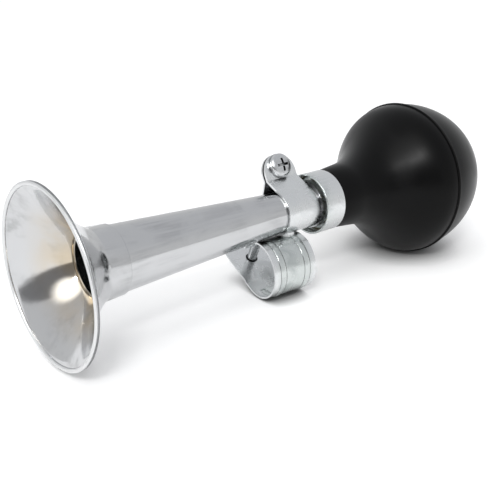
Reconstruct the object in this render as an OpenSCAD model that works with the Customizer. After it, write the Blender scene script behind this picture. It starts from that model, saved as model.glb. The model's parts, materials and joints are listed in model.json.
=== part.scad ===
// Bicycle bulb horn lying on its bell, its bulb and its handlebar clamp.
// Stations are measured along the horn axis from the front of the bell rim, in millimetres.

/* [Bell] */
// Radius of the bell mouth over its rolled rim
bell_r = 32.8; // [28:0.2:33]
// Depth of the flare, from the rim to the throat
flare_depth = 17.7; // [14:0.1:22]
// Length of the sleeve that grips the tube behind the throat
sleeve_length = 7.9; // [5:0.1:12]
// Thickness of the spun sheet
bell_wall = 0.6; // [0.4:0.1:1]
// Radius of the rolled rim
bead_r = 0.9; // [0.7:0.1:1.4]
// Radius at the middle of the flare's curve, which sets how soon it opens
flare_waist_r = 17; // [15.5:0.5:20]

/* [Tube] */
// Outer radius of the tube at the throat
tube_front_r = 12.8; // [11.5:0.1:13.5]
// Outer radius of the straight seat that the strap grips
seat_r = 8.3; // [7.4:0.1:9]
// Thickness of the tube
tube_wall = 0.8; // [0.6:0.1:1]
// Station where the cone ends and the seat begins
seat_station = 100.6; // [98:0.1:104]
// Station of the tube's rear end
tube_end_station = 122; // [121.5:0.1:124]
// Outward step of the collar on the tail of the tube
collar_step = 1.5; // [0.8:0.1:2.2]
// Length of that collar
collar_length = 3.2; // [2:0.1:4]

/* [Horn strap] */
// Station of the middle of the strap
strap_station = 109.2; // [108.8:0.1:109.8]
// Width of the strap
strap_width = 16; // [14:0.5:17]
// Thickness of the strap
strap_t = 0.9; // [0.8:0.1:1.3]
// Gap between the pinched ears
strap_ear_gap = 0.9; // [0.6:0.1:1.6]
// Height of the ear tip above the horn axis
strap_ear_top = 23.2; // [21:0.1:25]
// Height of the screw above the horn axis
strap_screw_height = 18.1; // [16.5:0.1:18.5]
// Lean of the ears from upright, away from the front
strap_ear_lean = 26; // [0:1:40]

/* [Handlebar strap] */
// Radius of the bore that the handlebar fills
bar_bore_r = 11.15; // [10.95:0.05:12.8]
// Width of the band
band_width = 20.4; // [18:0.2:21]
// Thickness of the band
band_t = 0.7; // [0.6:0.1:1]
// How far the ribs stand out of the band
rib_rise = 0.3; // [0.2:0.05:0.5]
// Width of a rib
rib_width = 2.8; // [2:0.1:3.2]
// Distance of each rib from the middle of the band
rib_offset = 5.9; // [5.6:0.1:7.5]
// Distance from the rivet forward to the middle of the band
band_shift = 5.1; // [4:0.1:5.4]
// Gap between the two ears
bar_ear_gap = 13; // [11.5:0.1:13.4]
// Rise of the ears above the plane square to the rivet
bar_ear_rise = 35.5; // [33:0.5:38]
// Length of the lower ear from its tangent point
lower_ear_length = 25; // [23:0.1:28]
// Length of the upper ear from the same line
upper_ear_length = 22.5; // [21.5:0.1:24]
// Distance of the screw from the same line
bar_screw_reach = 15.6; // [15.6:0.1:17.2]
// Turn of the clamp on its rivet as it lies
clamp_turn = -5; // [-8:1:0]
// Height of the band's lowest rib over the ground while the horn's axis is level
lie_gap = 0.4; // [0.1:0.05:0.6]

/* [Rivet and screws] */
// Radius of the rivet's shank
rivet_r = 2; // [1.6:0.1:2.3]
// Radius of the rivet's flush heads
rivet_head_r = 2.9; // [2.6:0.1:3.3]
// Radius of the flat round the rivet on each band
boss_r = 4.2; // [3.6:0.1:4.5]
// Radius of the strap screw
screw_r = 2.5; // [2:0.1:2.6]
// Radius of its head
head_r = 4.9; // [4.2:0.05:5]
// Radius of the handlebar screw
bar_screw_r = 2; // [1.7:0.1:2.2]
// Radius of its head
bar_head_r = 4; // [3.6:0.1:4.4]
// Radius of the holes that it passes through
bar_hole_r = 2.6; // [2.4:0.1:3]
// Height of a screw head
head_h = 3.1; // [2.4:0.1:3.4]
// Distance across the flats of the strap screw's nut
nut_across = 8; // [7.5:0.1:8]
// Distance across the flats of the handlebar screw's nut
bar_nut_across = 7; // [6.5:0.1:7]
// Height of a nut
nut_h = 2.4; // [2:0.1:3]
// Thickness of a lock washer
washer_t = 0.9; // [0.6:0.1:1.1]

/* [Ferrule] */
// Outer radius of the ferrule
ferrule_r = 12.7; // [12.2:0.1:13.4]
// Thickness of the ferrule
ferrule_wall = 0.6; // [0.5:0.1:0.8]
// Station of the ferrule's open front
ferrule_station = 118.9; // [118.6:0.1:119.4]
// Length of the ferrule
ferrule_length = 9.9; // [9:0.1:11]

/* [Bulb] */
// Radius of the bulb at its seam
bulb_r = 33.5; // [31:0.1:35]
// How far the moulding seam stands out
seam_rise = 0.7; // [0.4:0.1:0.8]
// Share of that rise pressed flat where the soft seam rests on the ground
seam_press = 0.85; // [0.5:0.05:0.9]
// Station of the seam
seam_station = 176.5; // [172:0.5:182]
// Distance from the seam to the rear end
bulb_back = 38; // [32:0.5:40]
// Thickness of the rubber
bulb_wall = 2.8; // [2.2:0.1:3.4]
// Station where the neck begins to swell
shoulder_station = 140; // [138:0.5:146]
// Outer radius of the neck there
shoulder_r = 13.5; // [12.8:0.1:15]

/* [Reed] */
// Outer radius of the holder's tail, on which the bulb turns
holder_r = 5.5; // [5:0.1:6]
// Outer radius of the spigot inside the rubber neck
spigot_r = 8.7; // [8:0.1:9]
// Length of the spigot
spigot_length = 13; // [10:0.5:15]
// Outer radius of the shallot
shallot_r = 3.2; // [2.8:0.1:3.6]
// Station of the shallot's closed end
shallot_end_station = 158; // [152:0.5:160]
// Width of the brass tongue
tongue_w = 4.2; // [3.6:0.1:4.6]
// Thickness of the tongue
tongue_t = 0.25; // [0.2:0.05:0.4]

/* [Hidden] */
$fn = 96;
fit = 0.05;
seat_gap = 0.02;
seam_gap = 0.1;
steps = 28;
flange_r = 9.4;
flange_t = 1.2;
seal_t = 0.7;
web_t = 1;
plug_length = 9;
shallot_wall = 0.9;
shallot_flat = 1.9;
root_station = 137.3;
root_length = 3.4;
wedge_h = 1.1;
recess_w = 1.1;
recess_l = 5.4;
recess_d = 1.5;
rib_start = 72;
rib_sweep = 182;
flank_bite = 0.06;
lower_ear_r = 5;
ear_inset = 0.3;
upper_ear_r = 6.5;
upper_ear_half = 7.5;
washer_rim = 1.5;
sheet_hole_gap = 0.08;
rivet_head_h = 0.45;
boss_rise = 0.03;
total_length = seam_station + bulb_back;
front_x = -total_length / 2;
axis_h = bulb_r + seam_rise * (1 - seam_press);
flare_wall_r = tube_front_r + bell_wall;
bell_edge_r = bell_r - bead_r;
cone_slope = (tube_front_r - seat_r) / (seat_station - flare_depth);
strap_bore_r = seat_r + fit;
strap_r = strap_bore_r + strap_t;
band_r = bar_bore_r + band_t;
drop = strap_r + band_r + 2 * boss_rise + fit;
rib_aside = -(band_shift + rib_offset) * sin(clamp_turn);
hang_height = axis_h - band_r - rib_rise - lie_gap;
roll = atan(rib_aside / drop) + acos(min(1, hang_height / norm([drop, rib_aside])));
rivet_station = strap_station - 3.7;
ear_inner = strap_ear_gap / 2;
ear_outer = ear_inner + strap_t;
upper_ear_z = bar_ear_gap - bar_bore_r;
rib_r = (pow(rib_width / 2, 2) + pow(rib_rise, 2)) / (2 * rib_rise);
rib_center_r = band_r + rib_rise - rib_r;
flank_top = strap_screw_height - head_r - 0.1;
flank_turn = acos((strap_r - flank_bite) / norm([ear_outer, flank_top])) + atan(ear_outer / flank_top);
flank_way = [sin(flank_turn), cos(flank_turn)];
slot_foot = flank_top - strap_t * (1 - sin(flank_turn)) / cos(flank_turn);
web_station = tube_end_station + flange_t + seal_t + 0.1;
neck_station = web_station + web_t + seat_gap;
neck_r = ferrule_r - ferrule_wall - seat_gap;
neck_bore_r = spigot_r + seat_gap;
skirt_end = ferrule_station + ferrule_length;
screw_grip = 2 * strap_t + strap_ear_gap;
bar_grip = 2 * band_t + bar_ear_gap;

// Point on a curve with two, three or four control points
function mix(a, b, t) = a * (1 - t) + b * t;
function bezier3(p, t) = mix(mix(p[0], p[1], t), mix(p[1], p[2], t), t);
function bezier4(p, t) = mix(bezier3([p[0], p[1], p[2]], t), bezier3([p[1], p[2], p[3]], t), t);
function turned(v) = [-v[1], v[0]] / norm(v);

// Radius and station along the outside of the flare, and the same moved inwards by the wall
flare_points = [[bell_edge_r, bead_r], [flare_waist_r, flare_depth * 0.55], [flare_wall_r, flare_depth]];
function flare(t) = bezier3(flare_points, t);
function flare_way(t) = mix(flare_points[1] - flare_points[0], flare_points[2] - flare_points[1], t);
function flare_inside(t) = flare(t) + bell_wall * turned(flare_way(t));

// Radius and station along the outside of the front half of the bulb
shoulder_points = [
    [shoulder_r, shoulder_station],
    [shoulder_r + 1.5, mix(shoulder_station, seam_station, 0.51)],
    [bulb_r, mix(shoulder_station, seam_station, 0.67)],
    [bulb_r, seam_station]
];
function swell(t) = bezier4(shoulder_points, t);
function swell_way(t) = swell(min(t + 0.01, 1)) - swell(max(t - 0.01, 0));
function swell_inside(t) = swell(t) + bulb_wall * turned(swell_way(t));

module along(station) {
    translate([front_x + station, 0, axis_h]) rotate([0, 90, 0]) children();
}

module turned_body(points) {
    along(0) rotate_extrude() polygon(points);
}

module ring(station, length, outer, inner) {
    along(station) difference() {
        cylinder(r = outer, h = length);
        translate([0, 0, -1]) cylinder(r = inner, h = length + 2);
    }
}

// Frame on the horn axis with +Z along the strap's ears
module strap_frame() {
    translate([front_x + strap_station, 0, axis_h]) rotate([-strap_ear_lean, 0, 0]) children();
}

// Frame on the horn axis over the rivet, whose axis is Z
module rivet_frame() {
    translate([front_x + rivet_station, 0, axis_h]) rotate([-roll, 0, 0]) children();
}

// Frame at the middle of the handlebar bore, which runs along X
module clamp_frame() {
    rivet_frame() translate([0, 0, -drop]) rotate([0, 0, clamp_turn]) translate([-band_shift, 0, 0])
        children();
}

// The same with +Y out along the clamp's ears
module bar_ear_frame() {
    clamp_frame() rotate([bar_ear_rise, 0, 0]) children();
}

module across_x(width) {
    translate([-width / 2, 0, 0]) rotate([90, 0, 90]) linear_extrude(width) children();
}

// Strap screw's axis, with +Z from its head to its nut
module strap_screw_frame() {
    strap_frame() translate([0, -ear_outer, strap_screw_height]) rotate([-90, 0, 0]) children();
}

// Handlebar screw's axis, with +Z from its head to its nut
module bar_screw_frame() {
    bar_ear_frame() translate([0, bar_screw_reach, -band_r]) children();
}

module pan_screw(shank, head, grip, tail) {
    edge_h = head_h * 0.42;
    point_l = 0.6;
    difference() {
        union() {
            rotate_extrude() polygon(concat(
                [[0, -seat_gap], [head, -seat_gap]],
                [for (a = [0 : 9 : 90]) [head * cos(a), -edge_h - (head_h - edge_h) * sin(a)]]
            ));
            translate([0, 0, -edge_h]) cylinder(r = shank, h = edge_h + grip + tail - point_l);
            translate([0, 0, grip + tail - point_l]) cylinder(r1 = shank, r2 = shank - 0.5, h = point_l);
        }
        for (a = [0, 90]) {
            rotate([0, 0, a]) translate([-recess_l / 2, -recess_w / 2, -head_h - 1])
                cube([recess_l, recess_w, recess_d + 1]);
        }
    }
}

module hex_nut(across, shank) {
    corner_r = across / 2 / cos(30);
    chamfer = 0.4;
    difference() {
        intersection() {
            cylinder(r = corner_r, h = nut_h, $fn = 6);
            rotate_extrude() polygon([
                [0, 0], [corner_r - chamfer, 0], [corner_r, chamfer],
                [corner_r, nut_h - chamfer], [corner_r - chamfer, nut_h], [0, nut_h]
            ]);
        }
        translate([0, 0, -1]) cylinder(r = shank + fit, h = nut_h + 2);
    }
}

module split_washer(shank) {
    slit = 0.8;
    difference() {
        cylinder(r = shank + washer_rim, h = washer_t);
        translate([0, 0, -1]) cylinder(r = shank + 2 * fit, h = washer_t + 2);
        rotate([0, 0, 35]) translate([0, -slit / 2, -1]) cube([2 * shank + washer_rim, slit, washer_t + 2]);
    }
}

module bell() {
    color("gainsboro") union() {
        turned_body(concat(
            [for (i = [0 : steps]) flare(i / steps)],
            [
                [tube_r(flare_depth + sleeve_length) + bell_wall, flare_depth + sleeve_length],
                [tube_r(flare_depth + sleeve_length) + seat_gap, flare_depth + sleeve_length],
                [tube_front_r + seat_gap, flare_depth]
            ],
            [for (i = [steps - 1 : -1 : 0]) flare_inside(i / steps)]
        ));
        along(bead_r) rotate_extrude() translate([bell_edge_r, 0]) circle(r = bead_r, $fn = 32);
    }
}

// Outer radius of the tube's cone at a station
function tube_r(station) = tube_front_r - cone_slope * (station - flare_depth);

module horn_tube() {
    mouth = flare_depth + seat_gap;
    color("silver") turned_body([
        [tube_front_r, mouth], [seat_r, seat_station], [seat_r, tube_end_station],
        [seat_r - tube_wall, tube_end_station], [seat_r - tube_wall, seat_station],
        [tube_front_r - tube_wall, mouth]
    ]);
}

module tube_collar() {
    color("silver") ring(tube_end_station - collar_length, collar_length, seat_r + collar_step, seat_r);
}

module reed_holder() {
    bore_r = shallot_r + seat_gap;
    color("goldenrod") difference() {
        union() {
            along(tube_end_station - plug_length) cylinder(r = seat_r - tube_wall, h = plug_length);
            along(tube_end_station) cylinder(r = flange_r, h = flange_t);
            along(tube_end_station) cylinder(r = holder_r, h = neck_station - tube_end_station + 6.5);
        }
        along(tube_end_station - plug_length - 1) cylinder(r = bore_r, h = 40);
    }
}

module seal_washer() {
    color("dimgray") ring(tube_end_station + flange_t, seal_t, flange_r, holder_r + fit);
}

module reed_shallot() {
    front = tube_end_station - 1;
    length = shallot_end_station - front;
    bore_r = shallot_r - shallot_wall;
    color("gold") difference() {
        along(front) cylinder(r = shallot_r, h = length);
        along(front - 1) cylinder(r = bore_r, h = length - shallot_wall);
        translate([front_x + root_station - root_length, -shallot_r, axis_h + shallot_flat])
            cube([length, 2 * shallot_r, shallot_r]);
    }
}

module reed_root() {
    color("khaki") translate([front_x + root_station - root_length + seat_gap, -tongue_w / 2,
            axis_h + shallot_flat])
        cube([root_length - 2 * seat_gap, tongue_w, tongue_t]);
}

module reed_wedge() {
    floor_z = axis_h + shallot_flat + tongue_t;
    start_x = front_x + root_station - root_length + 2 * seat_gap;
    color("goldenrod") translate([start_x, -tongue_w / 2, floor_z])
        rotate([90, 0, 90]) linear_extrude(root_length - 4 * seat_gap) polygon([
            [0, 0], [tongue_w, 0], [tongue_w * 0.78, wedge_h], [tongue_w * 0.22, wedge_h]
        ]);
}

module reed_tongue() {
    color("khaki") translate([front_x + root_station, -tongue_w / 2, axis_h + shallot_flat + seat_gap])
        cube([shallot_end_station - root_station - 0.5, tongue_w, tongue_t]);
}

// Recess for a rivet head, with +Z from the head's face along the shank
module rivet_sink(gap) {
    slope = (rivet_head_r - rivet_r) / rivet_head_h;
    tip_r = rivet_r * 0.7;
    face_r = rivet_head_r + gap;
    translate([0, 0, -0.5])
        cylinder(r1 = face_r + slope * 0.5, r2 = tip_r, h = 0.5 + (face_r - tip_r) / slope);
}

// Kite from the horn axis to the ears, whose flanks leave a circle and close in on the ears
module strap_kite(radius, half, foot, top) {
    flank = (radius - flank_bite) * flank_way;
    polygon([
        [0, 0], flank, [half, foot], [half, top], [-half, top], [-half, foot], [-flank[0], flank[1]]
    ]);
}

module strap_ear_outline() {
    end_r = strap_width / 2;
    hull() {
        translate([0, strap_ear_top - end_r]) circle(r = end_r);
        translate([-end_r, strap_bore_r]) square([strap_width, 1]);
    }
}

module horn_strap() {
    color("lightgray") difference() {
        union() {
            strap_frame() across_x(strap_width) union() {
                circle(r = strap_r);
                strap_kite(strap_r, ear_outer, flank_top, flank_top + 0.5);
            }
            strap_frame() translate([0, ear_outer, 0]) rotate([90, 0, 0])
                linear_extrude(screw_grip) strap_ear_outline();
            rivet_frame() translate([0, 0, -strap_r - boss_rise]) cylinder(r = boss_r, h = strap_t);
        }
        along(strap_station - strap_width) cylinder(r = strap_bore_r, h = 2 * strap_width);
        strap_frame() across_x(2 * strap_width)
            strap_kite(strap_bore_r, ear_inner, slot_foot, strap_ear_top + 1);
        strap_screw_frame() translate([0, 0, -1]) cylinder(r = screw_r + sheet_hole_gap, h = screw_grip + 2);
        rivet_frame() translate([0, 0, -strap_r - 1]) cylinder(r = rivet_r + seat_gap, h = strap_t + 2);
        rivet_frame() translate([0, 0, -strap_bore_r - fit]) rotate([180, 0, 0]) rivet_sink(seat_gap);
    }
}

module strap_nut() {
    color("gainsboro") strap_screw_frame() translate([0, 0, screw_grip + washer_t])
        hex_nut(nut_across, screw_r);
}

module strap_washer() {
    color("gray") strap_screw_frame() translate([0, 0, screw_grip]) split_washer(screw_r);
}

module swivel_rivet() {
    lower = -drop + bar_bore_r + fit;
    upper = -strap_bore_r - fit;
    color("gainsboro") rivet_frame() union() {
        translate([0, 0, lower]) cylinder(r = rivet_r, h = upper - lower);
        translate([0, 0, lower]) cylinder(r1 = rivet_head_r, r2 = rivet_r, h = rivet_head_h);
        translate([0, 0, upper - rivet_head_h]) cylinder(r1 = rivet_r, r2 = rivet_head_r, h = rivet_head_h);
    }
}

module strap_screw() {
    color("gainsboro") strap_screw_frame() pan_screw(screw_r, head_r, screw_grip, washer_t + nut_h + 1.6);
}

module rib(r_shift) {
    at_r = rib_center_r + r_shift;
    for (side = [-1, 1]) {
        translate([side * rib_offset, 0, 0]) rotate([90, 0, 90]) rotate([0, 0, rib_start]) {
            rotate_extrude(angle = rib_sweep) intersection() {
                translate([at_r, 0]) circle(r = rib_r);
                translate([at_r, -rib_r]) square([rib_r, 2 * rib_r]);
            }
            for (a = [0, rib_sweep]) {
                rotate([0, 0, a]) translate([at_r, 0, 0]) sphere(r = rib_r);
            }
        }
    }
}

// Ear seen square to its plane: wide at the band, with a rounded end
module bar_ear_outline(length, half, end_r, foot) {
    hull() {
        for (side = [-1, 1]) {
            translate([side * (half - end_r), length - end_r]) circle(r = end_r, $fn = 64);
        }
        translate([-half, foot]) square([2 * half, 1]);
    }
}

module handlebar_strap() {
    ear_foot = bar_bore_r * 0.42;
    color("lightgray") difference() {
        union() {
            bar_ear_frame() across_x(band_width) difference() {
                circle(r = band_r);
                translate([0, -2 * band_r + upper_ear_z]) square([2 * band_r, 2 * band_r]);
            }
            bar_ear_frame() translate([0, 0, -band_r]) linear_extrude(band_t) union() {
                bar_ear_outline(lower_ear_length, band_width / 2 - ear_inset, lower_ear_r, ear_foot);
                translate([-band_width / 2, -1]) square([band_width, 1 + ear_foot]);
            }
            bar_ear_frame() translate([0, 0, upper_ear_z]) linear_extrude(band_t) intersection() {
                bar_ear_outline(upper_ear_length, upper_ear_half, upper_ear_r, ear_foot);
                translate([-band_width / 2, bar_bore_r - 0.6]) square([band_width, upper_ear_length]);
            }
            bar_ear_frame() rib(0);
            clamp_frame() translate([band_shift, 0, 0]) cylinder(r = boss_r, h = band_r + boss_rise);
        }
        clamp_frame() translate([-band_width, 0, 0]) rotate([0, 90, 0])
            cylinder(r = bar_bore_r, h = 2 * band_width);
        bar_ear_frame() rib(-band_t);
        bar_screw_frame() translate([0, 0, -1]) cylinder(r = bar_hole_r, h = 2 * band_r);
        clamp_frame() translate([band_shift, 0, 0]) cylinder(r = rivet_r + fit, h = band_r + 1);
        clamp_frame() translate([band_shift, 0, bar_bore_r + fit]) rivet_sink(fit);
    }
}

module handlebar_nut() {
    color("gainsboro") bar_screw_frame() translate([0, 0, bar_grip + washer_t])
        hex_nut(bar_nut_across, bar_screw_r);
}

module handlebar_washer() {
    color("gray") bar_screw_frame() translate([0, 0, bar_grip]) split_washer(bar_screw_r);
}

module handlebar_screw() {
    color("gainsboro") bar_screw_frame()
        pan_screw(bar_screw_r, bar_head_r, bar_grip, washer_t + nut_h + 0.6);
}

module ferrule() {
    inside = ferrule_r - ferrule_wall;
    lip_r = 0.45;
    color("silver") union() {
        turned_body([
            [ferrule_r, ferrule_station + lip_r], [ferrule_r, skirt_end], [inside, skirt_end],
            [inside, web_station + web_t], [holder_r + fit, web_station + web_t],
            [holder_r + fit, web_station], [inside - 1, web_station], [inside, web_station - 1],
            [inside, ferrule_station + lip_r]
        ]);
        along(ferrule_station + lip_r) rotate_extrude() translate([ferrule_r - lip_r, 0])
            circle(r = lip_r, $fn = 24);
    }
}

module neck_spigot() {
    color("goldenrod") ring(neck_station - seat_gap, spigot_length, spigot_r, holder_r + fit);
}

module bulb_front() {
    bore_end = neck_station + spigot_length;
    color("black") turned_body(concat(
        [[neck_bore_r, neck_station], [neck_r, neck_station], [neck_r, skirt_end],
            [neck_r + 0.35, skirt_end + 0.4]],
        [for (i = [0 : steps]) swell(i / steps)],
        [for (i = [steps : -1 : 1]) swell_inside(i / steps)],
        [[neck_bore_r + 1.6, bore_end + 2.5], [neck_bore_r, bore_end]]
    ));
}

module bulb_rear() {
    front = seam_station + seam_gap;
    inner_back = bulb_back - bulb_wall;
    inner_r = bulb_r - bulb_wall;
    ridge_l = 1.8;
    color("black") union() {
        turned_body(concat(
            [for (i = [0 : steps]) let (a = 90 * i / steps) [
                bulb_r * cos(a), front + (bulb_back - seam_gap) * sin(a)
            ]],
            [for (i = [steps : -1 : 0]) let (a = 90 * i / steps) [
                inner_r * cos(a), front + (inner_back - seam_gap) * sin(a)
            ]]
        ));
        difference() {
            turned_body([
                [bulb_r - 1, front], [bulb_r + seam_rise * 0.5, front],
                [bulb_r + seam_rise, front + ridge_l * 0.2], [bulb_r + seam_rise, front + ridge_l * 0.5],
                [bulb_r - 1, front + ridge_l]
            ]);
            translate([front_x + front - 1, -bulb_r, -bulb_wall]) cube([ridge_l + 2, 2 * bulb_r, bulb_wall]);
        }
    }
}

bell();
horn_tube();
tube_collar();
reed_holder();
seal_washer();
reed_shallot();
reed_root();
reed_wedge();
reed_tongue();
horn_strap();
strap_nut();
strap_washer();
swivel_rivet();
strap_screw();
handlebar_strap();
handlebar_nut();
handlebar_washer();
handlebar_screw();
ferrule();
neck_spigot();
bulb_front();
bulb_rear();
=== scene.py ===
"""Bicycle bulb horn lying on a white table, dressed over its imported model."""

import json
import logging
import math
from dataclasses import dataclass
from enum import Enum
from typing import Sequence

import bmesh
import bpy
from mathutils import Matrix, Quaternion, Vector


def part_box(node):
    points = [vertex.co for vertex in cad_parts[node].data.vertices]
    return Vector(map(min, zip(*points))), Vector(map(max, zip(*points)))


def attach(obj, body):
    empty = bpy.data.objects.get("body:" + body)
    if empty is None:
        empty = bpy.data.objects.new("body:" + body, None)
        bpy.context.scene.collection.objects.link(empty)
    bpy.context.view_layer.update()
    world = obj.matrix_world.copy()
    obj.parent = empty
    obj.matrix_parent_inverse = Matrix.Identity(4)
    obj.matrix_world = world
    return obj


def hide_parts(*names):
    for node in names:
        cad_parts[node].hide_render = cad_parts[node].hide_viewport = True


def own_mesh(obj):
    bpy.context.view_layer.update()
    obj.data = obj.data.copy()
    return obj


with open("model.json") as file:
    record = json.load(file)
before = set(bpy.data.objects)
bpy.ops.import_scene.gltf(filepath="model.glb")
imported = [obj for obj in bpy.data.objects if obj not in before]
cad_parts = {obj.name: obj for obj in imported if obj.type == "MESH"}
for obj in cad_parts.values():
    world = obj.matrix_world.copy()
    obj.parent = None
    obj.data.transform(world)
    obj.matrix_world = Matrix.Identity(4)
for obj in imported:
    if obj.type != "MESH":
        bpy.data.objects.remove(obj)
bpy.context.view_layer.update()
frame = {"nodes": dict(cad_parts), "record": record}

log = logging.getLogger("bulb_horn")
MM = 0.001
POLE_R = 1e-4
SHARP_ANGLE = math.radians(38)
Point = tuple[float, float]
Place = tuple[float, float, float]
Colour = tuple[float, float, float]
Piece = bpy.types.Object
Material = bpy.types.Material
Tree = bpy.types.NodeTree
Node = bpy.types.Node
Socket = bpy.types.NodeSocket
WHITE: Colour = (1.0, 1.0, 1.0)
BLACK: Colour = (0.0, 0.0, 0.0)


class Body(str, Enum):
    """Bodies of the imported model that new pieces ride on."""

    HORN = "horn"
    NECK = "bulb_neck"
    BULB_BACK = "bulb_back"


class Slot(str, Enum):
    """Names of material slots in the record."""

    CHROME = "chrome_bell"
    RUBBER = "black_rubber"


@dataclass(frozen=True)
class Span:
    """A range of values that a mask or a fade runs over.

    Args:
        low, high: Values at its start and end.
    """

    low: float
    high: float


FULL_SPAN = Span(0.0, 1.0)
STREAK_SPAN = Span(0.35, 0.68)
SMUDGE_SPAN = Span(0.42, 0.7)
RUBBED_EDGE_SPAN = Span(0.5, 0.58)
CREVICE_SPAN = Span(0.3, 0.85)
THROAT_SPAN = Span(0.013, 0.027)
RIM_SPAN = Span(0.0308, 0.0313)
INWARD_SPAN = Span(-0.001, 0.0)
PATCH_SPAN = Span(0.3, 0.62)
PATCH_LEAST = 0.35
PATCH_SCALE = 70.0
RIB_SIDE: Place = (0.0, -0.99, -0.15)


def mix(a: Point, b: Point, t: float) -> Point:
    """Gives the point at share t of the way from a to b."""
    return (a[0] + (b[0] - a[0]) * t, a[1] + (b[1] - a[1]) * t)


def bezier(points: Sequence[Point], t: float) -> Point:
    """Evaluates a curve of any degree.

    Args:
        points: The control points, first to last.
        t: Share of the way along, from 0 to 1.

    Returns:
        The point on the curve.
    """
    row = list(points)
    while len(row) > 1:
        row = [mix(row[i], row[i + 1], t) for i in range(len(row) - 1)]
    return row[0]


def inset(points: Sequence[Point], depth: float) -> list[Point]:
    """Moves an open profile square to itself, towards the axis.

    Args:
        points: Station and radius of each point, front to back.
        depth: Distance to move.

    Returns:
        The moved points.
    """
    moved = []
    last = len(points) - 1
    for i, (station, radius) in enumerate(points):
        before = points[max(i - 1, 0)]
        after = points[min(i + 1, last)]
        way = Vector((after[0] - before[0], after[1] - before[1])).normalized()
        moved.append((station + way.y * depth, radius - way.x * depth))
    return moved


@dataclass(frozen=True)
class HornAxis:
    """The line that the horn's turned pieces stand round, in metres.

    Args:
        front_x: Place of the bell's rim along X.
        height: Height of the axis over the table.
    """

    front_x: float
    height: float

    @classmethod
    def from_frame(cls) -> "HornAxis":
        """Reads the axis from the bell's box."""
        low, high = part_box("bell")
        return cls(front_x=low.x, height=(low.z + high.z) / 2)

    def at(self, station: float) -> Vector:
        """Gives the place of a station, in millimetres behind the rim."""
        return Vector((self.front_x + station * MM, 0.0, self.height))

    def lathe(self, name: str, profile: Sequence[Point], segments: int = 192) -> Piece:
        """Turns a closed profile round the axis.

        Args:
            name: Name of the new piece.
            profile: Station and radius of each point in millimetres, the last joined to the first.
            segments: Number of steps round the axis.

        Returns:
            The new object, with its place in its mesh.
        """
        builder = bmesh.new()
        rings = []
        for station, radius in profile:
            centre = self.at(station)
            if radius < POLE_R:
                rings.append([builder.verts.new(centre)] * segments)
                continue
            ring = []
            for k in range(segments):
                angle = math.tau * k / segments
                offset = Vector((0.0, math.cos(angle), math.sin(angle))) * radius * MM
                ring.append(builder.verts.new(centre + offset))
            rings.append(ring)
        for i, ring in enumerate(rings):
            other = rings[(i + 1) % len(rings)]
            for k in range(segments):
                n = (k + 1) % segments
                corners = list(dict.fromkeys([ring[k], ring[n], other[n], other[k]]))
                if len(corners) > 2:
                    builder.faces.new(corners)
        return make_object(name, builder)


def make_object(name: str, builder: bmesh.types.BMesh) -> Piece:
    """Finishes a mesh with smooth shading and sharp corners, and adds it to the scene.

    Args:
        name: Name of the new piece.
        builder: The mesh, which is freed.

    Returns:
        The new object.
    """
    bmesh.ops.recalc_face_normals(builder, faces=builder.faces)
    for face in builder.faces:
        face.smooth = True
    for edge in builder.edges:
        if len(edge.link_faces) == 2 and edge.calc_face_angle(0.0) > SHARP_ANGLE:
            edge.smooth = False
    mesh = bpy.data.meshes.new(name)
    builder.to_mesh(mesh)
    builder.free()
    piece = bpy.data.objects.new(name, mesh)
    bpy.context.scene.collection.objects.link(piece)
    return piece


def dress(piece: Piece, material: Material) -> None:
    """Gives a piece one material in place of what it has."""
    piece.data.materials.clear()
    piece.data.materials.append(material)


def place(piece: Piece, body: Body, slot: Slot, *nodes: str) -> None:
    """Lets a piece ride on a body and stand for CAD nodes.

    Args:
        piece: The new piece.
        body: The body that it rides on.
        slot: The record's slot; not used.
        *nodes: CAD nodes that it replaces.
    """
    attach(piece, body.value)
    if nodes:
        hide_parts(*nodes)
    log.info("%s rides on %s", piece.name, body.value)


def set_inputs(node: Node, values: dict[str, object]) -> None:
    """Sets plain values on a node's inputs."""
    for name, value in values.items():
        node.inputs[name].default_value = value


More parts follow.
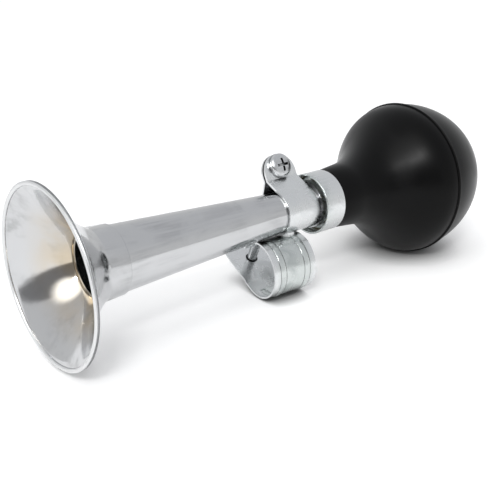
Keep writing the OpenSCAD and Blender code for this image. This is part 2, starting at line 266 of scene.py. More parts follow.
@dataclass
class Graph:
    """A node tree with short calls for adding and joining nodes.

    Args:
        tree: The material's, world's or group's node tree.
    """

    tree: Tree

    def add(self, kind: str, **values: object) -> Node:
        """Adds a node.

        Args:
            kind: Blender's name for the node's type.
            **values: Properties of the node, set by name.

        Returns:
            The new node.
        """
        made = self.tree.nodes.new(kind)
        for key, value in values.items():
            setattr(made, key, value)
        return made

    def join(self, start: Socket, end: Socket) -> None:
        """Links an output to an input."""
        self.tree.links.new(start, end)

    def put(self, value: object, socket: Socket) -> None:
        """Joins or sets a value.

        Args:
            value: A socket, a number or a colour.
            socket: The input that takes it.
        """
        if isinstance(value, Socket):
            self.join(value, socket)
        else:
            socket.default_value = (*value, 1.0) if isinstance(value, tuple) else value

    def maths(self, kind: str, *values: object, clamp: bool = False) -> Socket:
        """Adds a Math node.

        Args:
            kind: The operation.
            *values: A socket or a number for each input that the operation takes.
            clamp: Whether the result stays from 0 to 1.

        Returns:
            The result's socket.
        """
        made = self.add("ShaderNodeMath", operation=kind, use_clamp=clamp)
        for socket, value in zip(made.inputs, values):
            self.put(value, socket)
        return made.outputs[0]

    def remap(self, value: Socket, span: Span, start: float = 0.0, end: float = 1.0) -> Socket:
        """Maps a range of values onto another with soft ends.

        Args:
            value: The value.
            span: The range that it runs over.
            start, end: Results at its start and end.

        Returns:
            The result's socket.
        """
        made = self.add("ShaderNodeMapRange", interpolation_type="SMOOTHSTEP")
        self.join(value, made.inputs["Value"])
        numbers = {"From Min": span.low, "From Max": span.high, "To Min": start, "To Max": end}
        set_inputs(made, numbers)
        return made.outputs["Result"]

    def blend(self, share: Socket, first: object, second: object) -> Socket:
        """Mixes two colours.

        Args:
            share: Share of the second colour.
            first, second: The colours or their sockets.

        Returns:
            The mixed colour's socket.
        """
        made = self.add("ShaderNodeMix", data_type="RGBA")
        self.join(share, made.inputs[0])
        self.put(first, made.inputs[6])
        self.put(second, made.inputs[7])
        return made.outputs[2]

    def dot(self, first: Socket, second: object) -> Socket:
        """Multiplies two vectors into a number.

        Args:
            first: A vector's socket.
            second: A vector or its socket.

        Returns:
            The number's socket.
        """
        made = self.add("ShaderNodeVectorMath", operation="DOT_PRODUCT")
        self.put(first, made.inputs[0])
        self.put(second, made.inputs[1])
        return made.outputs["Value"]

    def noise(self, where: Socket, scale: object, **values: float) -> Socket:
        """Adds a Noise node.

        Args:
            where: The place that it is measured at.
            scale: A socket or a number.
            **values: Values of its other inputs.

        Returns:
            The noise's socket.
        """
        made = self.add("ShaderNodeTexNoise")
        self.join(where, made.inputs["Vector"])
        self.put(scale, made.inputs["Scale"])
        set_inputs(made, values)
        return made.outputs["Fac"]


@dataclass
class ShaderGroup:
    """A shader group with its sockets.

    Args:
        name: Name of the group.
        inputs: The usual value of each input.
        outputs: Names of its outputs.
    """

    name: str
    inputs: dict[str, float]
    outputs: Sequence[str]

    def __post_init__(self) -> None:
        """Makes the group."""
        tree = bpy.data.node_groups.new(self.name, "ShaderNodeTree")
        for name, value in self.inputs.items():
            made = tree.interface.new_socket(name=name, in_out="INPUT", socket_type="NodeSocketFloat")
            made.default_value = value
        for name in self.outputs:
            tree.interface.new_socket(name=name, in_out="OUTPUT", socket_type="NodeSocketFloat")
        self.graph = Graph(tree)
        self.given = self.graph.add("NodeGroupInput")
        self.result = self.graph.add("NodeGroupOutput")

    def take(self, name: str) -> Socket:
        """Gives one of the group's inputs."""
        return self.given.outputs[name]

    def give(self, name: str, value: Socket) -> None:
        """Joins a value to one of the group's outputs."""
        self.graph.join(value, self.result.inputs[name])

    def object_place(self) -> Node:
        """Adds the node that tells where on the object a point lies."""
        return self.graph.add("ShaderNodeTexCoord")


@dataclass
class Effects:
    """The shader groups that several finishes share.

    Args:
        axis_height: Height of the horn's axis over the table, in metres.
    """

    axis_height: float

    def __post_init__(self) -> None:
        """Makes each group once and fills it."""
        lengths = {"Along": 20.0, "Across": 400.0}
        self.streaks = ShaderGroup("streaks", lengths, ["Height", "Mask"])
        self.smudges = ShaderGroup("smudges", {"Scale": 60.0}, ["Mask"])
        self.grain = ShaderGroup("grain", {"Scale": 2000.0}, ["Height"])
        self.edge_wear = ShaderGroup("edge_wear", {"Amount": 1.0}, ["Mask"])
        self.crevice = ShaderGroup("crevice", {"Reach": 0.002}, ["Mask"])
        self.throat = ShaderGroup("throat", {"Height": self.axis_height}, ["Mask", "Rim"])
        self.fill_streaks()
        self.fill_smudges()
        self.fill_grain()
        self.fill_edge_wear()
        self.fill_crevice()
        self.fill_throat()

    def fill_streaks(self) -> None:
        """Draws long polishing streaks that run with the horn."""
        group, graph = self.streaks, self.streaks.graph
        stretch = graph.add("ShaderNodeCombineXYZ")
        graph.join(group.take("Along"), stretch.inputs["X"])
        graph.join(group.take("Across"), stretch.inputs["Y"])
        graph.join(group.take("Across"), stretch.inputs["Z"])
        scaled = graph.add("ShaderNodeVectorMath", operation="MULTIPLY")
        graph.join(group.object_place().outputs["Object"], scaled.inputs[0])
        graph.join(stretch.outputs[0], scaled.inputs[1])
        noise = graph.noise(scaled.outputs[0], 1.0, Detail=4.0, Roughness=0.6)
        group.give("Height", noise)
        group.give("Mask", graph.remap(noise, STREAK_SPAN))

    def fill_smudges(self) -> None:
        """Draws cloudy handling marks."""
        group = self.smudges
        where = group.object_place().outputs["Object"]
        noise = group.graph.noise(where, group.take("Scale"), Detail=6.0, Distortion=0.6)
        group.give("Mask", group.graph.remap(noise, SMUDGE_SPAN))

    def fill_grain(self) -> None:
        """Draws a fine even grain."""
        group = self.grain
        where = group.object_place().outputs["Object"]
        group.give("Height", group.graph.noise(where, group.take("Scale"), Detail=3.0, Roughness=0.7))

    def fill_edge_wear(self) -> None:
        """Finds rubbed outer edges."""
        group, graph = self.edge_wear, self.edge_wear.graph
        edge = graph.remap(graph.add("ShaderNodeNewGeometry").outputs["Pointiness"], RUBBED_EDGE_SPAN)
        group.give("Mask", graph.maths("MULTIPLY", edge, group.take("Amount"), clamp=True))

    def fill_crevice(self) -> None:
        """Finds narrow gaps and inner corners, where painted shade darkens the colour."""
        group, graph = self.crevice, self.crevice.graph
        shade = graph.add("ShaderNodeAmbientOcclusion", samples=8)
        graph.join(group.take("Reach"), shade.inputs["Distance"])
        group.give("Mask", graph.remap(shade.outputs["AO"], CREVICE_SPAN, 1.0, 0.0))

    def fill_throat(self) -> None:
        """Finds the metal inside the flare close to the horn's axis, and the rolled rim."""
        group, graph = self.throat, self.throat.graph
        place_on = group.object_place()
        split = graph.add("ShaderNodeSeparateXYZ")
        graph.join(place_on.outputs["Object"], split.inputs[0])
        up = graph.maths("SUBTRACT", split.outputs["Z"], group.take("Height"))
        squares = [graph.maths("POWER", part, 2.0) for part in (split.outputs["Y"], up)]
        radius = graph.maths("SQRT", graph.maths("ADD", *squares))
        group.give("Rim", graph.remap(radius, RIM_SPAN))
        outward = graph.add("ShaderNodeCombineXYZ")
        graph.join(split.outputs["Y"], outward.inputs["Y"])
        graph.join(up, outward.inputs["Z"])
        facing = graph.dot(outward.outputs[0], place_on.outputs["Normal"])
        noise = graph.noise(place_on.outputs["Object"], PATCH_SCALE, Detail=3.0)
        patchy = graph.remap(noise, PATCH_SPAN, PATCH_LEAST, 1.0)
        stained = graph.maths("MULTIPLY", graph.remap(radius, THROAT_SPAN, 1.0, 0.0), patchy, clamp=True)
        inside = graph.remap(facing, INWARD_SPAN, 1.0, 0.0)
        group.give("Mask", graph.maths("MULTIPLY", stained, inside, clamp=True))


@dataclass(frozen=True)
class Grain:
    """A fine relief.

    Args:
        scale: Its fineness.
        share: Share of its relief.
        height: Its relief in metres.
    """

    scale: float
    share: float
    height: float


@dataclass
class Surface:
    """A new material with its Principled shader and calls to add the shared effects.

    Args:
        name: Name of the material.
        effects: The shared shader groups.
    """

    name: str
    effects: Effects

    def __post_init__(self) -> None:
        """Makes the material and finds its shader."""
        self.material = bpy.data.materials.new(self.name)
        self.material.use_nodes = True
        self.graph = Graph(self.material.node_tree)
        self.shader = self.material.node_tree.nodes["Principled BSDF"]

    def effect(self, group: ShaderGroup, **values: float) -> Node:
        """Places a shared group.

        Args:
            group: The group.
            **values: The values of its inputs here.

        Returns:
            The group's node.
        """
        made = self.graph.add("ShaderNodeGroup", node_tree=group.graph.tree)
        set_inputs(made, values)
        return made

    def clouds(self, scale: float) -> Socket:
        """Places the smudges and gives their mask."""
        return self.effect(self.effects.smudges, Scale=scale).outputs["Mask"]

    def gaps(self, share: float) -> Socket:
        """Finds the shaded gaps and corners at a share of their full depth."""
        mask = self.effect(self.effects.crevice).outputs["Mask"]
        return self.graph.maths("MULTIPLY", mask, share, clamp=True)

    def feed(self, socket: str, value: Socket) -> None:
        """Joins a value to one of the shader's sockets."""
        self.graph.join(value, self.shader.inputs[socket])

    def bump(self, height: Socket, strength: float, distance: float) -> None:
        """Raises the surface by a height map.

        Args:
            height: Height from 0 to 1.
            strength: Share of the effect.
            distance: Height of the relief in metres.
        """
        made = self.graph.add("ShaderNodeBump")
        set_inputs(made, {"Strength": strength, "Distance": distance})
        for link in self.shader.inputs["Normal"].links:
            self.graph.join(link.from_socket, made.inputs["Normal"])
        self.graph.join(height, made.inputs["Height"])
        self.feed("Normal", made.outputs["Normal"])

    def roughen(self, grain: Grain) -> None:
        """Raises the surface by a fine grain."""
        height = self.effect(self.effects.grain, Scale=grain.scale).outputs["Height"]
        self.bump(height, grain.share, grain.height)

    def set(self, **values: object) -> None:
        """Sets plain values on the shader's own sockets, with _ for a space in a name."""
        set_inputs(self.shader, {key.replace("_", " "): value for key, value in values.items()})


@dataclass(frozen=True)
class PressedRibs:
    """Where the band's two pressed ribs have their creases.

    Args:
        middle: Middle of the band's bore.
        along: Direction of the bore.
        outward: Direction from the bore to the middle of the ribs' sweep.
        offset: Distance of each rib from the middle of the band.
        half: Half of a rib's width.
        crease: Width of the shaded crease beside a rib.
        fade: Where the creases run out, along the outward direction.
    """

    middle: Vector
    along: Vector
    outward: Vector
    offset: float = 0.0059
    half: float = 0.0014
    crease: float = 0.00022
    fade: Span = Span(-0.0004, 0.0004)

    @classmethod
    def from_frame(cls) -> "PressedRibs":
        """Reads the band's bore from the record.

        Returns:
            The ribs of the band.
        """
        bore = frame["record"]["mounts"][0]
        along = Vector(bore["axis"])
        outward = Vector(RIB_SIDE)
        outward = (outward - outward.dot(along) * along).normalized()
        return cls(Vector(bore["pos_m"]), along, outward)

    def distance(self, graph: Graph, way: Vector) -> Socket:
        """Measures how far along a direction the shaded point lies from the middle, in metres."""
        place_on = graph.add("ShaderNodeTexCoord")
        return graph.maths("SUBTRACT", graph.dot(place_on.outputs["Object"], way), self.middle.dot(way))

    def mask(self, graph: Graph) -> Socket:
        """Finds the creases on the swept half of the band.

        Args:
            graph: The material's graph.

        Returns:
            The mask's socket.
        """
        aside = graph.maths("ABSOLUTE", self.distance(graph, self.along))
        off_rib = graph.maths("ABSOLUTE", graph.maths("SUBTRACT", aside, self.offset))
        off_crease = graph.maths("ABSOLUTE", graph.maths("SUBTRACT", off_rib, self.half))
        line = graph.remap(off_crease, Span(0.0, self.crease), 1.0, 0.0)
        swept = graph.remap(self.distance(graph, self.outward), self.fade)
        return graph.maths("MULTIPLY", line, swept, clamp=True)


@dataclass(frozen=True)
class Finish:
    """A finish that a material is made from."""

    def make(self, name: str, effects: Effects) -> Material:
        """Makes the material.

        Args:
            name: Name of the material.
            effects: The shared shader groups.

        Returns:
            The material.
        """
        surface = Surface(name, effects)
        self.paint(surface)
        return surface.material

    def paint(self, surface: Surface) -> None:
        """Sets up the surface, each finish in its own way."""
        raise NotImplementedError


@dataclass(frozen=True)
class Chrome(Finish):
    """Bright plating over spun brass, streaked and lightly smeared.

    Args:
        colour, smear_colour: Clean and smeared plating.
        stain_colour, stain: Worn plating deep in the flare, and its share.
        gap_shade_colour, shade: Dark colour painted as shade in gaps and corners, and its share.
        rim_highlight_colour, rim_roughness: Lighter colour painted on the rolled rim as a highlight, and the
            rim's roughness.
        roughness, smear_roughness: Roughness of clean and of smeared plating.
        smear_scale: How close the smears lie.
        streak_height, streak_share: Relief of the streaks in metres, and its share.
        along, across: How close the streaks lie end to end and side by side.
    """

    colour: Colour = (0.62, 0.625, 0.635)
    smear_colour: Colour = (0.5, 0.505, 0.515)
    stain_colour: Colour = (0.6, 0.47, 0.28)
    gap_shade_colour: Colour = (0.03, 0.03, 0.032)
    rim_highlight_colour: Colour = (0.8, 0.805, 0.81)
    rim_roughness: float = 0.5
    stain: float = 0.0
    shade: float = 0.75
    roughness: float = 0.11
    smear_roughness: float = 0.24
    smear_scale: float = 55.0
    streak_height: float = 0.00003
    streak_share: float = 0.5
    along: float = 14.0
    across: float = 420.0

    def paint(self, surface: Surface) -> None:
        """Sets up the plating.

        Args:
            surface: The material's surface.
        """
        graph = surface.graph
        surface.set(Metallic=1.0)
        streaks = surface.effect(surface.effects.streaks, Along=self.along, Across=self.across)
        wear = graph.maths("MULTIPLY", surface.clouds(self.smear_scale), streaks.outputs["Mask"])
        plate = graph.blend(wear, self.colour, self.smear_colour)
        throat = surface.effect(surface.effects.throat)
        thin = graph.maths("MULTIPLY", throat.outputs["Mask"], self.stain, clamp=True)
        stained = graph.blend(thin, plate, self.stain_colour)
        # Painted shade: ambient occlusion darkens the plating's colour in gaps and corners.
        shaded = graph.blend(surface.gaps(self.shade), stained, self.gap_shade_colour)
        rim = throat.outputs["Rim"]
        # Painted highlight: the rolled rim is given a lighter colour.
        surface.feed("Base Color", graph.blend(rim, shaded, self.rim_highlight_colour))
        rough = graph.remap(wear, FULL_SPAN, self.roughness, self.smear_roughness)
        rim_rough = graph.maths("MULTIPLY", rim, self.rim_roughness)
        surface.feed("Roughness", graph.maths("MAXIMUM", rough, rim_rough))
        surface.bump(streaks.outputs["Height"], self.streak_share, self.streak_height)


@dataclass(frozen=True)
class ZincSheet(Finish):
    """Bright zinc plate on pressed steel, with rubbed edges.

    Args:
        colour, cloud_colour: Clean and dull zinc.
        painted_shade_colour, shade: Dark colour painted as shade in gaps and creases, and its share in gaps.
        edge_colour, edge_share: Zinc on a rubbed edge, and its share.
        roughness, cloud_rise: Roughness of clean zinc, and how much rougher dull zinc is.
        cloud_scale: How close the dull patches lie.
        grain: Grain of the zinc.
        crease_painted_shade: Share of the painted shade in a crease.
        crease_height, crease_share: Relief of a crease in metres, and its share.
        ribs: The creases to shade, on a band that has them.
    """

    colour: Colour = (0.65, 0.685, 0.675)
    cloud_colour: Colour = (0.5, 0.535, 0.53)
    painted_shade_colour: Colour = (0.05, 0.053, 0.055)
    edge_colour: Colour = (0.8, 0.81, 0.82)
    shade: float = 0.85
    roughness: float = 0.25
    cloud_rise: float = 0.14
    cloud_scale: float = 150.0
    edge_share: float = 0.8
    grain: Grain = Grain(1500.0, 0.25, 0.00002)
    crease_painted_shade: float = 0.8
    crease_share: float = 0.6
    crease_height: float = 0.0001
    ribs: PressedRibs | None = None

    def paint(self, surface: Surface) -> None:
        """Sets up the zinc.

        Args:
            surface: The material's surface.
        """
        graph = surface.graph
        surface.set(Metallic=1.0)
        clouds = surface.clouds(self.cloud_scale)
        edges = surface.effect(surface.effects.edge_wear, Amount=self.edge_share)
        body = graph.blend(clouds, self.colour, self.cloud_colour)
        worn = graph.blend(edges.outputs["Mask"], body, self.edge_colour)
        # Painted shade: ambient occlusion darkens the zinc's colour in gaps.
        plate = graph.blend(surface.gaps(self.shade), worn, self.painted_shade_colour)
        dull = self.roughness + self.cloud_rise
        surface.feed("Roughness", graph.remap(clouds, FULL_SPAN, self.roughness, dull))
        surface.roughen(self.grain)
        if self.ribs:
            crease = self.ribs.mask(graph)
            # Painted shade: the creases beside the pressed ribs are darkened.
            plate = graph.blend(graph.maths("MULTIPLY", crease, self.crease_painted_shade), plate, self.painted_shade_colour)
            surface.bump(graph.maths("SUBTRACT", 1.0, crease), self.crease_share, self.crease_height)
        surface.feed("Base Color", plate)


@dataclass(frozen=True)
class Brass(Finish):
    """Turned brass that has dulled a little.

    Args:
        colour, dull_colour: Clean and dull brass.
        roughness, dull_roughness: Roughness of each.
        cloud_scale: How close the dull patches lie.
        grain: Grain of the brass.
    """

    colour: Colour = (0.78, 0.58, 0.28)
    dull_colour: Colour = (0.5, 0.36, 0.18)
    roughness: float = 0.2
    dull_roughness: float = 0.42
    cloud_scale: float = 220.0
    grain: Grain = Grain(1800.0, 0.2, 0.00002)

    def paint(self, surface: Surface) -> None:
        """Sets up the brass.

        Args:
            surface: The material's surface.
        """
        graph = surface.graph
        surface.set(Metallic=1.0)
        clouds = surface.clouds(self.cloud_scale)
        surface.feed("Base Color", graph.blend(clouds, self.colour, self.dull_colour))
        surface.feed("Roughness", graph.remap(clouds, FULL_SPAN, self.roughness, self.dull_roughness))
        surface.roughen(self.grain)


@dataclass(frozen=True)
class Rubber(Finish):
    """Black satin rubber with a fine moulded grain and faint bloom.

    Args:
        colour, bloom_colour: Clean rubber, and rubber with bloom on it.
        roughness, bloom_rise: Roughness of clean rubber, and how much rougher the bloom is.
        bloom_scale: How close the bloom's patches lie.
        specular: Level of the plain reflection.
        sheen, sheen_roughness: Weight and roughness of the soft sheen at the edges.
        grain: Grain of the rubber.
    """

    colour: Colour = (0.0012, 0.0012, 0.0013)
    bloom_colour: Colour = (0.0028, 0.0028, 0.003)
    roughness: float = 0.31
    bloom_rise: float = 0.1
    bloom_scale: float = 38.0
    specular: float = 0.13
    sheen: float = 0.18
    sheen_roughness: float = 0.35
    grain: Grain = Grain(2600.0, 0.3, 0.00003)

    def paint(self, surface: Surface) -> None:
        """Sets up the rubber.

        Args:
            surface: The material's surface.
        """
        graph = surface.graph
        surface.set(Metallic=0.0, IOR=1.5, Specular_IOR_Level=self.specular, Sheen_Weight=self.sheen,
                    Sheen_Roughness=self.sheen_roughness)
        bloom = surface.clouds(self.bloom_scale)
        surface.feed("Base Color", graph.blend(bloom, self.colour, self.bloom_colour))
        bloomed = self.roughness + self.bloom_rise
        surface.feed("Roughness", graph.remap(bloom, FULL_SPAN, self.roughness, bloomed))
        surface.roughen(self.grain)


@dataclass
class Finishes:
    """Every material of the horn, made once.

    Args:
        effects: The shared shader groups.
    """

    effects: Effects

    def __post_init__(self) -> None:
        """Makes the materials."""
        bell = Chrome(smear_colour=(0.43, 0.435, 0.44), stain=0.62, shade=0.2, along=30.0, across=260.0)
        screw = ZincSheet((0.62, 0.63, 0.64), (0.45, 0.46, 0.47), roughness=0.2, shade=1.0)
        steel = ZincSheet((0.46, 0.47, 0.48), (0.34, 0.35, 0.36), roughness=0.26, shade=1.0)
        ribbed = ZincSheet(ribs=PressedRibs.from_frame())
        seal = Rubber((0.02, 0.02, 0.02), roughness=0.6)
        self.chrome = Chrome().make("chrome_plate", self.effects)
        self.thin_chrome = bell.make("thin_chrome_plate", self.effects)
        self.sheet = ZincSheet().make("zinc_sheet_plate", self.effects)
        self.strap = ZincSheet(shade=0.45).make("zinc_strap_plate", self.effects)
        self.screw = screw.make("zinc_screw_plate", self.effects)
        self.steel = steel.make("zinc_steel_plate", self.effects)
        self.ribbed = ribbed.make("zinc_ribbed_plate", self.effects)
        self.brass = Brass().make("dulled_brass", self.effects)
        self.rubber = Rubber().make("satin_rubber", self.effects)
        self.seal = seal.make("seal_rubber_matt", self.effects)


@dataclass
class Trumpet:
    """The bell and the tube, in millimetres behind the bell's rim.

    Args:
        axis: The horn's axis.
        finishes: The materials.
        rim_r: Outer radius of the rolled rim.
        bead_r: Radius of the rim's roll.
        bead_start, bead_sweep, bead_steps: Start and sweep of the roll in degrees, and its steps.
        covered: Steps of the flare that the roll covers.
        waist_r, waist_share: Radius that the flare's curve leans to, and where along it.
        flare_depth: Depth of the flare.
        throat_r: Outer radius of the tube in the flare.
        sheet_t: Thickness of the bell's sheet.
        sleeve: Length of the sleeve over the tube.
        seat_r, seat_station: Outer radius and start of the tube's straight seat.
        tail: Where the tube ends.
        tube_wall: Thickness of the tube.
        corner: Size of a softened corner.
        fit: Clearance between the bell and the tube.
        steps, rows: Steps of the flare and of the tube.
    """

    axis: HornAxis
    finishes: Finishes
    rim_r: float = 32.8
    bead_r: float = 0.9
    bead_start: float = -35.0
    bead_sweep: float = 290.0
    bead_steps: int = 12
    covered: int = 2
    waist_r: float = 17.0
    waist_share: float = 0.55
    flare_depth: float = 17.7
    throat_r: float = 12.8
    sheet_t: float = 0.6
    sleeve: float = 7.9
    seat_r: float = 8.3
    seat_station: float = 100.6
    tail: float = 122.0
    tube_wall: float = 0.8
    corner: float = 0.2
    fit: float = 0.02
    steps: int = 40
    rows: int = 30

    def tube_r(self, station: float) -> float:
        """Gives the tube's outer radius at a station."""
        slope = (self.throat_r - self.seat_r) / (self.seat_station - self.flare_depth)
        return max(self.seat_r, self.throat_r - slope * (station - self.flare_depth))

    def build_bell(self) -> Piece:
        """Builds the flare, its rolled rim and its sleeve as one turned sheet.

        Returns:
            The bell.
        """
        edge_r = self.rim_r - self.bead_r
        control = [(self.bead_r, edge_r), (self.flare_depth * self.waist_share, self.waist_r),
                   (self.flare_depth, self.throat_r + self.sheet_t)]
        outside = [bezier(control, i / self.steps) for i in range(self.steps + 1)]
        inside = inset(outside, self.sheet_t)
        sleeve_end = self.flare_depth + self.sleeve
        sleeve_r = self.tube_r(sleeve_end) + self.sheet_t
        tail = [(sleeve_end - self.corner, sleeve_r), (sleeve_end, sleeve_r - self.corner),
                (sleeve_end, sleeve_r - self.sheet_t + self.fit),
                (self.flare_depth, self.throat_r + self.fit)]
        bead = []
        for i in range(self.bead_steps + 1):
            angle = math.radians(self.bead_start - self.bead_sweep * i / self.bead_steps)
            bead.append((self.bead_r - self.bead_r * math.sin(angle), edge_r + self.bead_r * math.cos(angle)))
        cut = self.covered
        profile = [*outside[cut:], *tail, *reversed(inside[cut:-1]), *reversed(bead)]
        return self.axis.lathe("bell_sheet", profile)

    def build_tube(self) -> Piece:
        """Builds the drawn tube with its straight seat and softened end.

        Returns:
            The tube.
        """
        mouth = self.flare_depth + self.fit
        wall = self.tube_wall
        cone = [mouth + (self.seat_station - mouth) * i / self.rows for i in range(self.rows + 1)]
        outside = [(s, self.tube_r(s)) for s in cone]
        end = [(self.tail - self.corner, self.seat_r), (self.tail, self.seat_r - self.corner)]
        inside = [(self.tail, self.seat_r - wall)] + [(s, self.tube_r(s) - wall) for s in reversed(cone)]
        return self.axis.lathe("drawn_tube", outside + end + inside)

    def build(self) -> None:
        """Builds and dresses both pieces."""
        bell = self.build_bell()
        dress(bell, self.finishes.thin_chrome)
        place(bell, Body.HORN, Slot.CHROME, "bell")
        tube = self.build_tube()
        dress(tube, self.finishes.chrome)
        place(tube, Body.HORN, Slot.CHROME, "horn_tube")


@dataclass
class Bulb:
    """The rubber bulb in its front and rear halves, in millimetres behind the bell's rim.

    Args:
        axis: The horn's axis.
        finishes: The materials.
        radius: Outer radius of the bulb.
        wall: Thickness of the rubber.
        seam, seam_rise, seam_gap: Place of the moulding seam, its ridge's height and the halves' gap.
        crest: Distance behind the seam and depth under its top of the ridge's points.
        crest_foot, crest_end: Distance from the seam to the ridge's foot and to its rear end.
        lip: Height of the step at the seam.
        fit: Height of a flush edge over the rubber.
        corner: Length of the front half's last step.
        back: Depth of the rear half.
        neck_start, neck_r: Start and outer radius of the neck in the ferrule.
        skirt_end: Where the neck leaves the ferrule.
        skirt_step: Length and height of the step out of the ferrule.
        shoulder, shoulder_r: Where the neck starts to swell, and its radius there.
        swell_start: Share of the swell's length and rise at its first bend.
        swell_end: Share of its length at its last bend.
        bore_r, bore_end: Radius of the neck's bore, and where it opens into the bulb.
        bore_flare: Length and height of that opening's step.
        travel: Travel of the rear half in a full squeeze; not used.
        steps: Steps of each half.
        ridge_rows: Steps of the rear half that the ridge covers.
    """

    axis: HornAxis
    finishes: Finishes
    radius: float = 33.5
    wall: float = 2.8
    seam: float = 176.5
    seam_rise: float = 0.7
    seam_gap: float = 0.1
    crest: tuple[Point, ...] = ((0.3, 0.04), (0.7, 0.0), (1.1, 0.08))
    crest_foot: float = 0.05
    crest_end: float = 1.5
    lip: float = 0.35
    fit: float = 0.02
    corner: float = 0.2
    back: float = 38.0
    neck_start: float = 124.94
    neck_r: float = 12.06
    skirt_end: float = 128.8
    skirt_step: Point = (0.4, 0.3)
    shoulder: float = 140.0
    shoulder_r: float = 13.5
    swell_start: Point = (0.51, 1.5)
    swell_end: float = 0.67
    bore_r: float = 8.75
    bore_end: float = 138.0
    bore_flare: Point = (2.5, 1.6)
    travel: float = 18.0
    steps: int = 48
    ridge_rows: int = 3

    def swell(self) -> list[Point]:
        """Gives the outside of the front half.

        Returns:
            Station and radius of each point, from the shoulder to the seam.
        """
        span = self.seam - self.shoulder
        share, rise = self.swell_start
        control = [(self.shoulder, self.shoulder_r), (self.shoulder + span * share, self.shoulder_r + rise),
                   (self.shoulder + span * self.swell_end, self.radius), (self.seam, self.radius)]
        return [bezier(control, i / self.steps) for i in range(self.steps + 1)]

    def build_front(self) -> None:
        """Builds the neck and the front half."""
        outside = self.swell()
        inside = inset(outside, self.wall)
        edge = [(self.seam - self.corner, self.radius + self.fit),
                (self.seam - self.fit, self.radius - self.lip)]
        step, flare = self.skirt_step, self.bore_flare
        neck = [(self.neck_start, self.bore_r), (self.neck_start, self.neck_r),
                (self.skirt_end, self.neck_r), (self.skirt_end + step[0], self.neck_r + step[1])]
        bore = [(self.bore_end + flare[0], self.bore_r + flare[1]), (self.bore_end, self.bore_r)]
        profile = [*neck, *outside[:-1], *edge, *reversed(inside[1:]), *bore]
        piece = self.axis.lathe("bulb_front_skin", profile)
        dress(piece, self.finishes.rubber)
        place(piece, Body.NECK, Slot.RUBBER, "bulb_front")
        tuple(self.axis.at(self.neck_start))
        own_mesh(piece)

    def dome(self, depth: float, radius: float, rows: Sequence[int]) -> list[Point]:
        """Gives a quarter of an ellipse behind the seam.

        Args:
            depth: Its depth.
            radius: Its radius at the seam.
            rows: Numbers of the steps to take, 0 at the seam.

        Returns:
            Station and radius of each step.
        """
        angles = [math.pi / 2 * i / self.steps for i in rows]
        front = self.seam + self.seam_gap
        return [(front + depth * math.sin(angle), max(radius * math.cos(angle), 0.0)) for angle in angles]

    def build_back(self) -> None:
        """Builds the rear half with the seam's ridge, which is pressed flat where it lies on the table."""
        front = self.seam + self.seam_gap
        depth = self.back - self.seam_gap
        high = self.radius + self.seam_rise
        ridge = [(front, self.radius - self.lip), (front + self.crest_foot, self.radius + self.lip),
                 *((front + behind, high - under) for behind, under in self.crest),
                 (front + self.crest_end, self.radius + self.fit)]
        outside = self.dome(depth, self.radius, range(self.ridge_rows, self.steps + 1))
        inside = self.dome(depth - self.wall, self.radius - self.wall, range(self.steps, -1, -1))
        piece = self.axis.lathe("bulb_rear_skin", ridge + outside + inside)
        for vertex in piece.data.vertices:
            vertex.co.z = max(vertex.co.z, 0.0)
        dress(piece, self.finishes.rubber)
        place(piece, Body.BULB_BACK, Slot.RUBBER, "bulb_rear")

    def build(self) -> None:
        """Builds both halves."""
        self.build_front()
        self.build_back()


@dataclass
class Fittings:
    """The CAD nodes that keep their shapes and get better materials.

    Args:
        finishes: The materials.
    """

    finishes: Finishes

    def build(self) -> None:
        """Dresses every node that is still shown."""
        finishes = self.finishes
        groups = (
            (finishes.sheet, ("tube_collar", "ferrule")),
            (finishes.ribbed, ("handlebar_strap",)),
            (finishes.strap, ("horn_strap",)),
            (finishes.screw, ("strap_screw",)),
            (finishes.steel, ("strap_nut", "strap_washer", "swivel_rivet", "handlebar_nut",
                              "handlebar_washer", "handlebar_screw")),
            (finishes.brass, ("reed_holder", "reed_shallot", "reed_root", "reed_wedge", "reed_tongue",
                              "neck_spigot")),
            (finishes.seal, ("seal_washer",)),
        )
        for material, names in groups:
            for name in names:
                dress(frame["nodes"][name], material)
                log.info("%s keeps its shape", name)


@dataclass(frozen=True)
class Lamp:
    """One soft lamp.

    Args:
        name: Name of the lamp.
        place: Where it stands, in metres.
        size, height: Width and height of its face.
        level: Its power in watts.
        mirrored: Whether its face shows in the metal.
    """

    name: str
    place: Place
    size: float
    height: float
    level: float
    mirrored: bool = True

    def build(self, aim: Vector) -> None:
        """Adds the lamp.

        Args:
            aim: The point that its face turns to.
        """
        data = bpy.data.lights.new(self.name, "AREA")
        data.shape = "RECTANGLE"
        data.size = self.size
        data.size_y = self.height
        data.energy = self.level
        lamp = bpy.data.objects.new(self.name, data)
        lamp.location = self.place
        lamp.visible_glossy = self.mirrored
        lamp.rotation_euler = (aim - Vector(self.place)).to_track_quat("-Z", "Y").to_euler()
        bpy.context.scene.collection.objects.link(lamp)


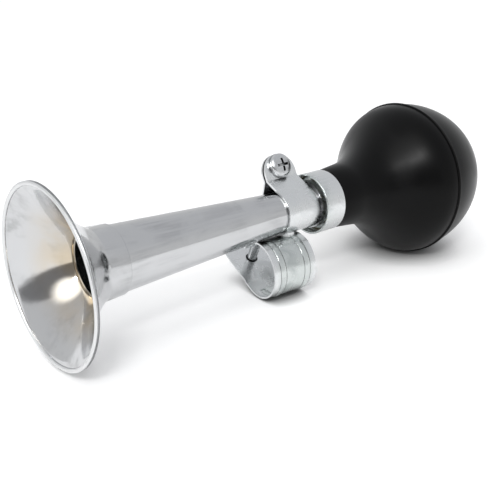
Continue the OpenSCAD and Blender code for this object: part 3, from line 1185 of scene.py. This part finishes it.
@dataclass(frozen=True)
class Table:
    """The white floor, which keeps shadows and runs out to plain white.

    Args:
        radius, sides: Radius of the floor, and sides of its outline.
        drop: Depth of its face under the object.
        colour, roughness: Colour and roughness of the floor.
        specular: Level of its plain reflection.
        lift: Share by which it is lifted to white.
        mirror_share: Share of that lift which the metal mirrors.
        contact: Reach of the painted contact shadow round what touches the floor.
        contact_span: How open the floor is at that shade's start and end.
        contact_share: Share of the floor's colour that is left in it.
        samples: Rays that measure it.
        fade: Distances from the middle between which the floor turns plain white.
    """

    radius: float = 3.0
    sides: int = 96
    drop: float = 0.0002
    colour: Colour = (0.8, 0.8, 0.8)
    roughness: float = 0.7
    specular: float = 0.1
    lift: float = 0.25
    mirror_share: float = 0.6
    contact: float = 0.02
    contact_span: Span = Span(0.1, 0.7)
    contact_share: float = 0.35
    samples: int = 16
    fade: Span = Span(0.45, 1.3)

    def make_material(self) -> Material:
        """Makes the floor's material.

        Returns:
            The material.
        """
        material = bpy.data.materials.new("white_table")
        material.use_nodes = True
        graph = Graph(material.node_tree)
        shader = material.node_tree.nodes["Principled BSDF"]
        # Painted shadow: ambient occlusion darkens the floor's colour and its lift to white round what
        # touches it.
        near = graph.add("ShaderNodeAmbientOcclusion", samples=self.samples)
        near.inputs["Distance"].default_value = self.contact
        open_share = graph.remap(near.outputs["AO"], self.contact_span)
        dim = tuple(self.contact_share * value for value in self.colour)
        place_on = graph.add("ShaderNodeTexCoord")
        reach = graph.add("ShaderNodeVectorMath", operation="LENGTH")
        graph.join(place_on.outputs["Object"], reach.inputs[0])
        far = graph.remap(reach.outputs["Value"], self.fade)
        near_colour = graph.blend(open_share, dim, self.colour)
        graph.join(graph.blend(far, near_colour, BLACK), shader.inputs["Base Color"])
        set_inputs(shader, {"Roughness": self.roughness, "Specular IOR Level": self.specular,
                            "Emission Color": (*WHITE, 1.0)})
        rays = graph.add("ShaderNodeLightPath")
        mirrored = graph.maths("MULTIPLY", rays.outputs["Is Glossy Ray"], self.mirror_share)
        seen = graph.maths("ADD", rays.outputs["Is Camera Ray"], mirrored, clamp=True)
        lift = graph.maths("MULTIPLY", open_share, self.lift)
        lift = graph.maths("ADD", lift, graph.maths("MULTIPLY", far, 1.0 - self.lift))
        graph.join(graph.maths("MULTIPLY", seen, lift), shader.inputs["Emission Strength"])
        return material

    def build(self) -> None:
        """Adds the floor."""
        builder = bmesh.new()
        bmesh.ops.create_circle(builder, cap_ends=True, radius=self.radius, segments=self.sides)
        mesh = bpy.data.meshes.new("table_top")
        builder.to_mesh(mesh)
        builder.free()
        floor = bpy.data.objects.new("table_top", mesh)
        floor.location.z = -self.drop
        bpy.context.scene.collection.objects.link(floor)
        dress(floor, self.make_material())


@dataclass(frozen=True)
class Patch:
    """A part of the room that differs from the rest.

    Args:
        side: The direction of its middle.
        colour: Its colour.
        span: Cosines of the angle from its middle where it begins and is full.
    """

    side: Place
    colour: Colour
    span: Span


@dataclass(frozen=True)
class Room:
    """A white backdrop and, for the metal to mirror, a pale room with a dark side and a window.

    Args:
        low_colour, high_colour: Colours of the room near the table and overhead.
        height: Heights between which one turns to the other.
        patches: The parts that differ.
    """

    low_colour: Colour = (0.72, 0.725, 0.73)
    high_colour: Colour = (0.64, 0.65, 0.67)
    height: Span = Span(0.05, 0.75)
    patches: tuple[Patch, ...] = (
        Patch((-0.84, -0.54, -0.04), (0.24, 0.24, 0.245), Span(0.72, 0.76)),
        Patch((-0.69, -0.2, 0.69), (2.4, 2.4, 2.36), Span(0.88, 0.98)),
    )

    def build(self) -> None:
        """Sets the world."""
        world = bpy.data.worlds.new("studio_room")
        world.use_nodes = True
        bpy.context.scene.world = world
        graph = Graph(world.node_tree)
        graph.tree.nodes.clear()
        way = graph.add("ShaderNodeTexCoord").outputs["Generated"]
        split = graph.add("ShaderNodeSeparateXYZ")
        graph.join(way, split.inputs[0])
        room = graph.blend(graph.remap(split.outputs["Z"], self.height), self.low_colour, self.high_colour)
        for patch in self.patches:
            facing = graph.dot(way, Vector(patch.side).normalized())
            room = graph.blend(graph.remap(facing, patch.span), room, patch.colour)
        rays = graph.add("ShaderNodeLightPath")
        background = graph.add("ShaderNodeBackground")
        graph.join(graph.blend(rays.outputs["Is Camera Ray"], room, WHITE), background.inputs["Color"])
        output = graph.add("ShaderNodeOutputWorld")
        graph.join(background.outputs[0], output.inputs["Surface"])


@dataclass
class Studio:
    """Floor, surroundings, lamps and camera.

    Args:
        azimuth: Direction of the camera round the object, in degrees.
        elevation: Height of the camera over the horizon, in degrees.
        distance: Distance from the aimed point, in metres.
        aim: The point in the middle of the picture.
        lens, sensor: Focal length and width of the sensor in millimetres.
        roll: Lean of the camera in radians.
        lamps: The lamps.
    """

    azimuth: float = -40.02
    elevation: float = 21.64
    distance: float = 0.33
    aim: Place = (-0.01758, 0.00187, 0.02017)
    lens: float = 59.17
    sensor: float = 36.0
    roll: float = -0.0024
    lamps: tuple[Lamp, ...] = (
        Lamp("overhead_softbox", (-0.05, 0.1, 2.0), 1.3, 1.3, 9.0, mirrored=False),
        Lamp("front_softbox", (-0.6, -0.56, 0.75), 0.22, 0.13, 4.0),
    )

    def build_camera(self) -> None:
        """Adds the camera at the photograph's angle."""
        turn, rise = math.radians(self.azimuth), math.radians(self.elevation)
        back = Vector((math.sin(turn) * math.cos(rise), -math.cos(turn) * math.cos(rise), math.sin(rise)))
        data = bpy.data.cameras.new("photo_camera")
        data.lens = self.lens
        data.sensor_width = self.sensor
        camera = bpy.data.objects.new("photo_camera", data)
        level = (-back).to_track_quat("-Z", "Y")
        lean = level @ Quaternion((0.0, 0.0, 1.0), self.roll)
        spot = Matrix.Translation(Vector(self.aim) + back * self.distance)
        camera.matrix_world = spot @ lean.to_matrix().to_4x4()
        bpy.context.scene.collection.objects.link(camera)
        bpy.context.scene.camera = camera

    def build(self) -> None:
        """Builds everything round the object."""
        self.build_camera()
        Table().build()
        Room().build()
        for lamp in self.lamps:
            lamp.build(Vector(self.aim))
        bpy.context.scene.view_settings.view_transform = "Standard"


def main() -> None:
    """Builds the scene in order."""
    logging.basicConfig(level=logging.INFO, format="%(name)s: %(message)s")
    Studio().build()
    axis = HornAxis.from_frame()
    finishes = Finishes(Effects(axis.height))
    Trumpet(axis, finishes).build()
    Bulb(axis, finishes).build()
    Fittings(finishes).build()


if __name__ == "__main__":
    main()
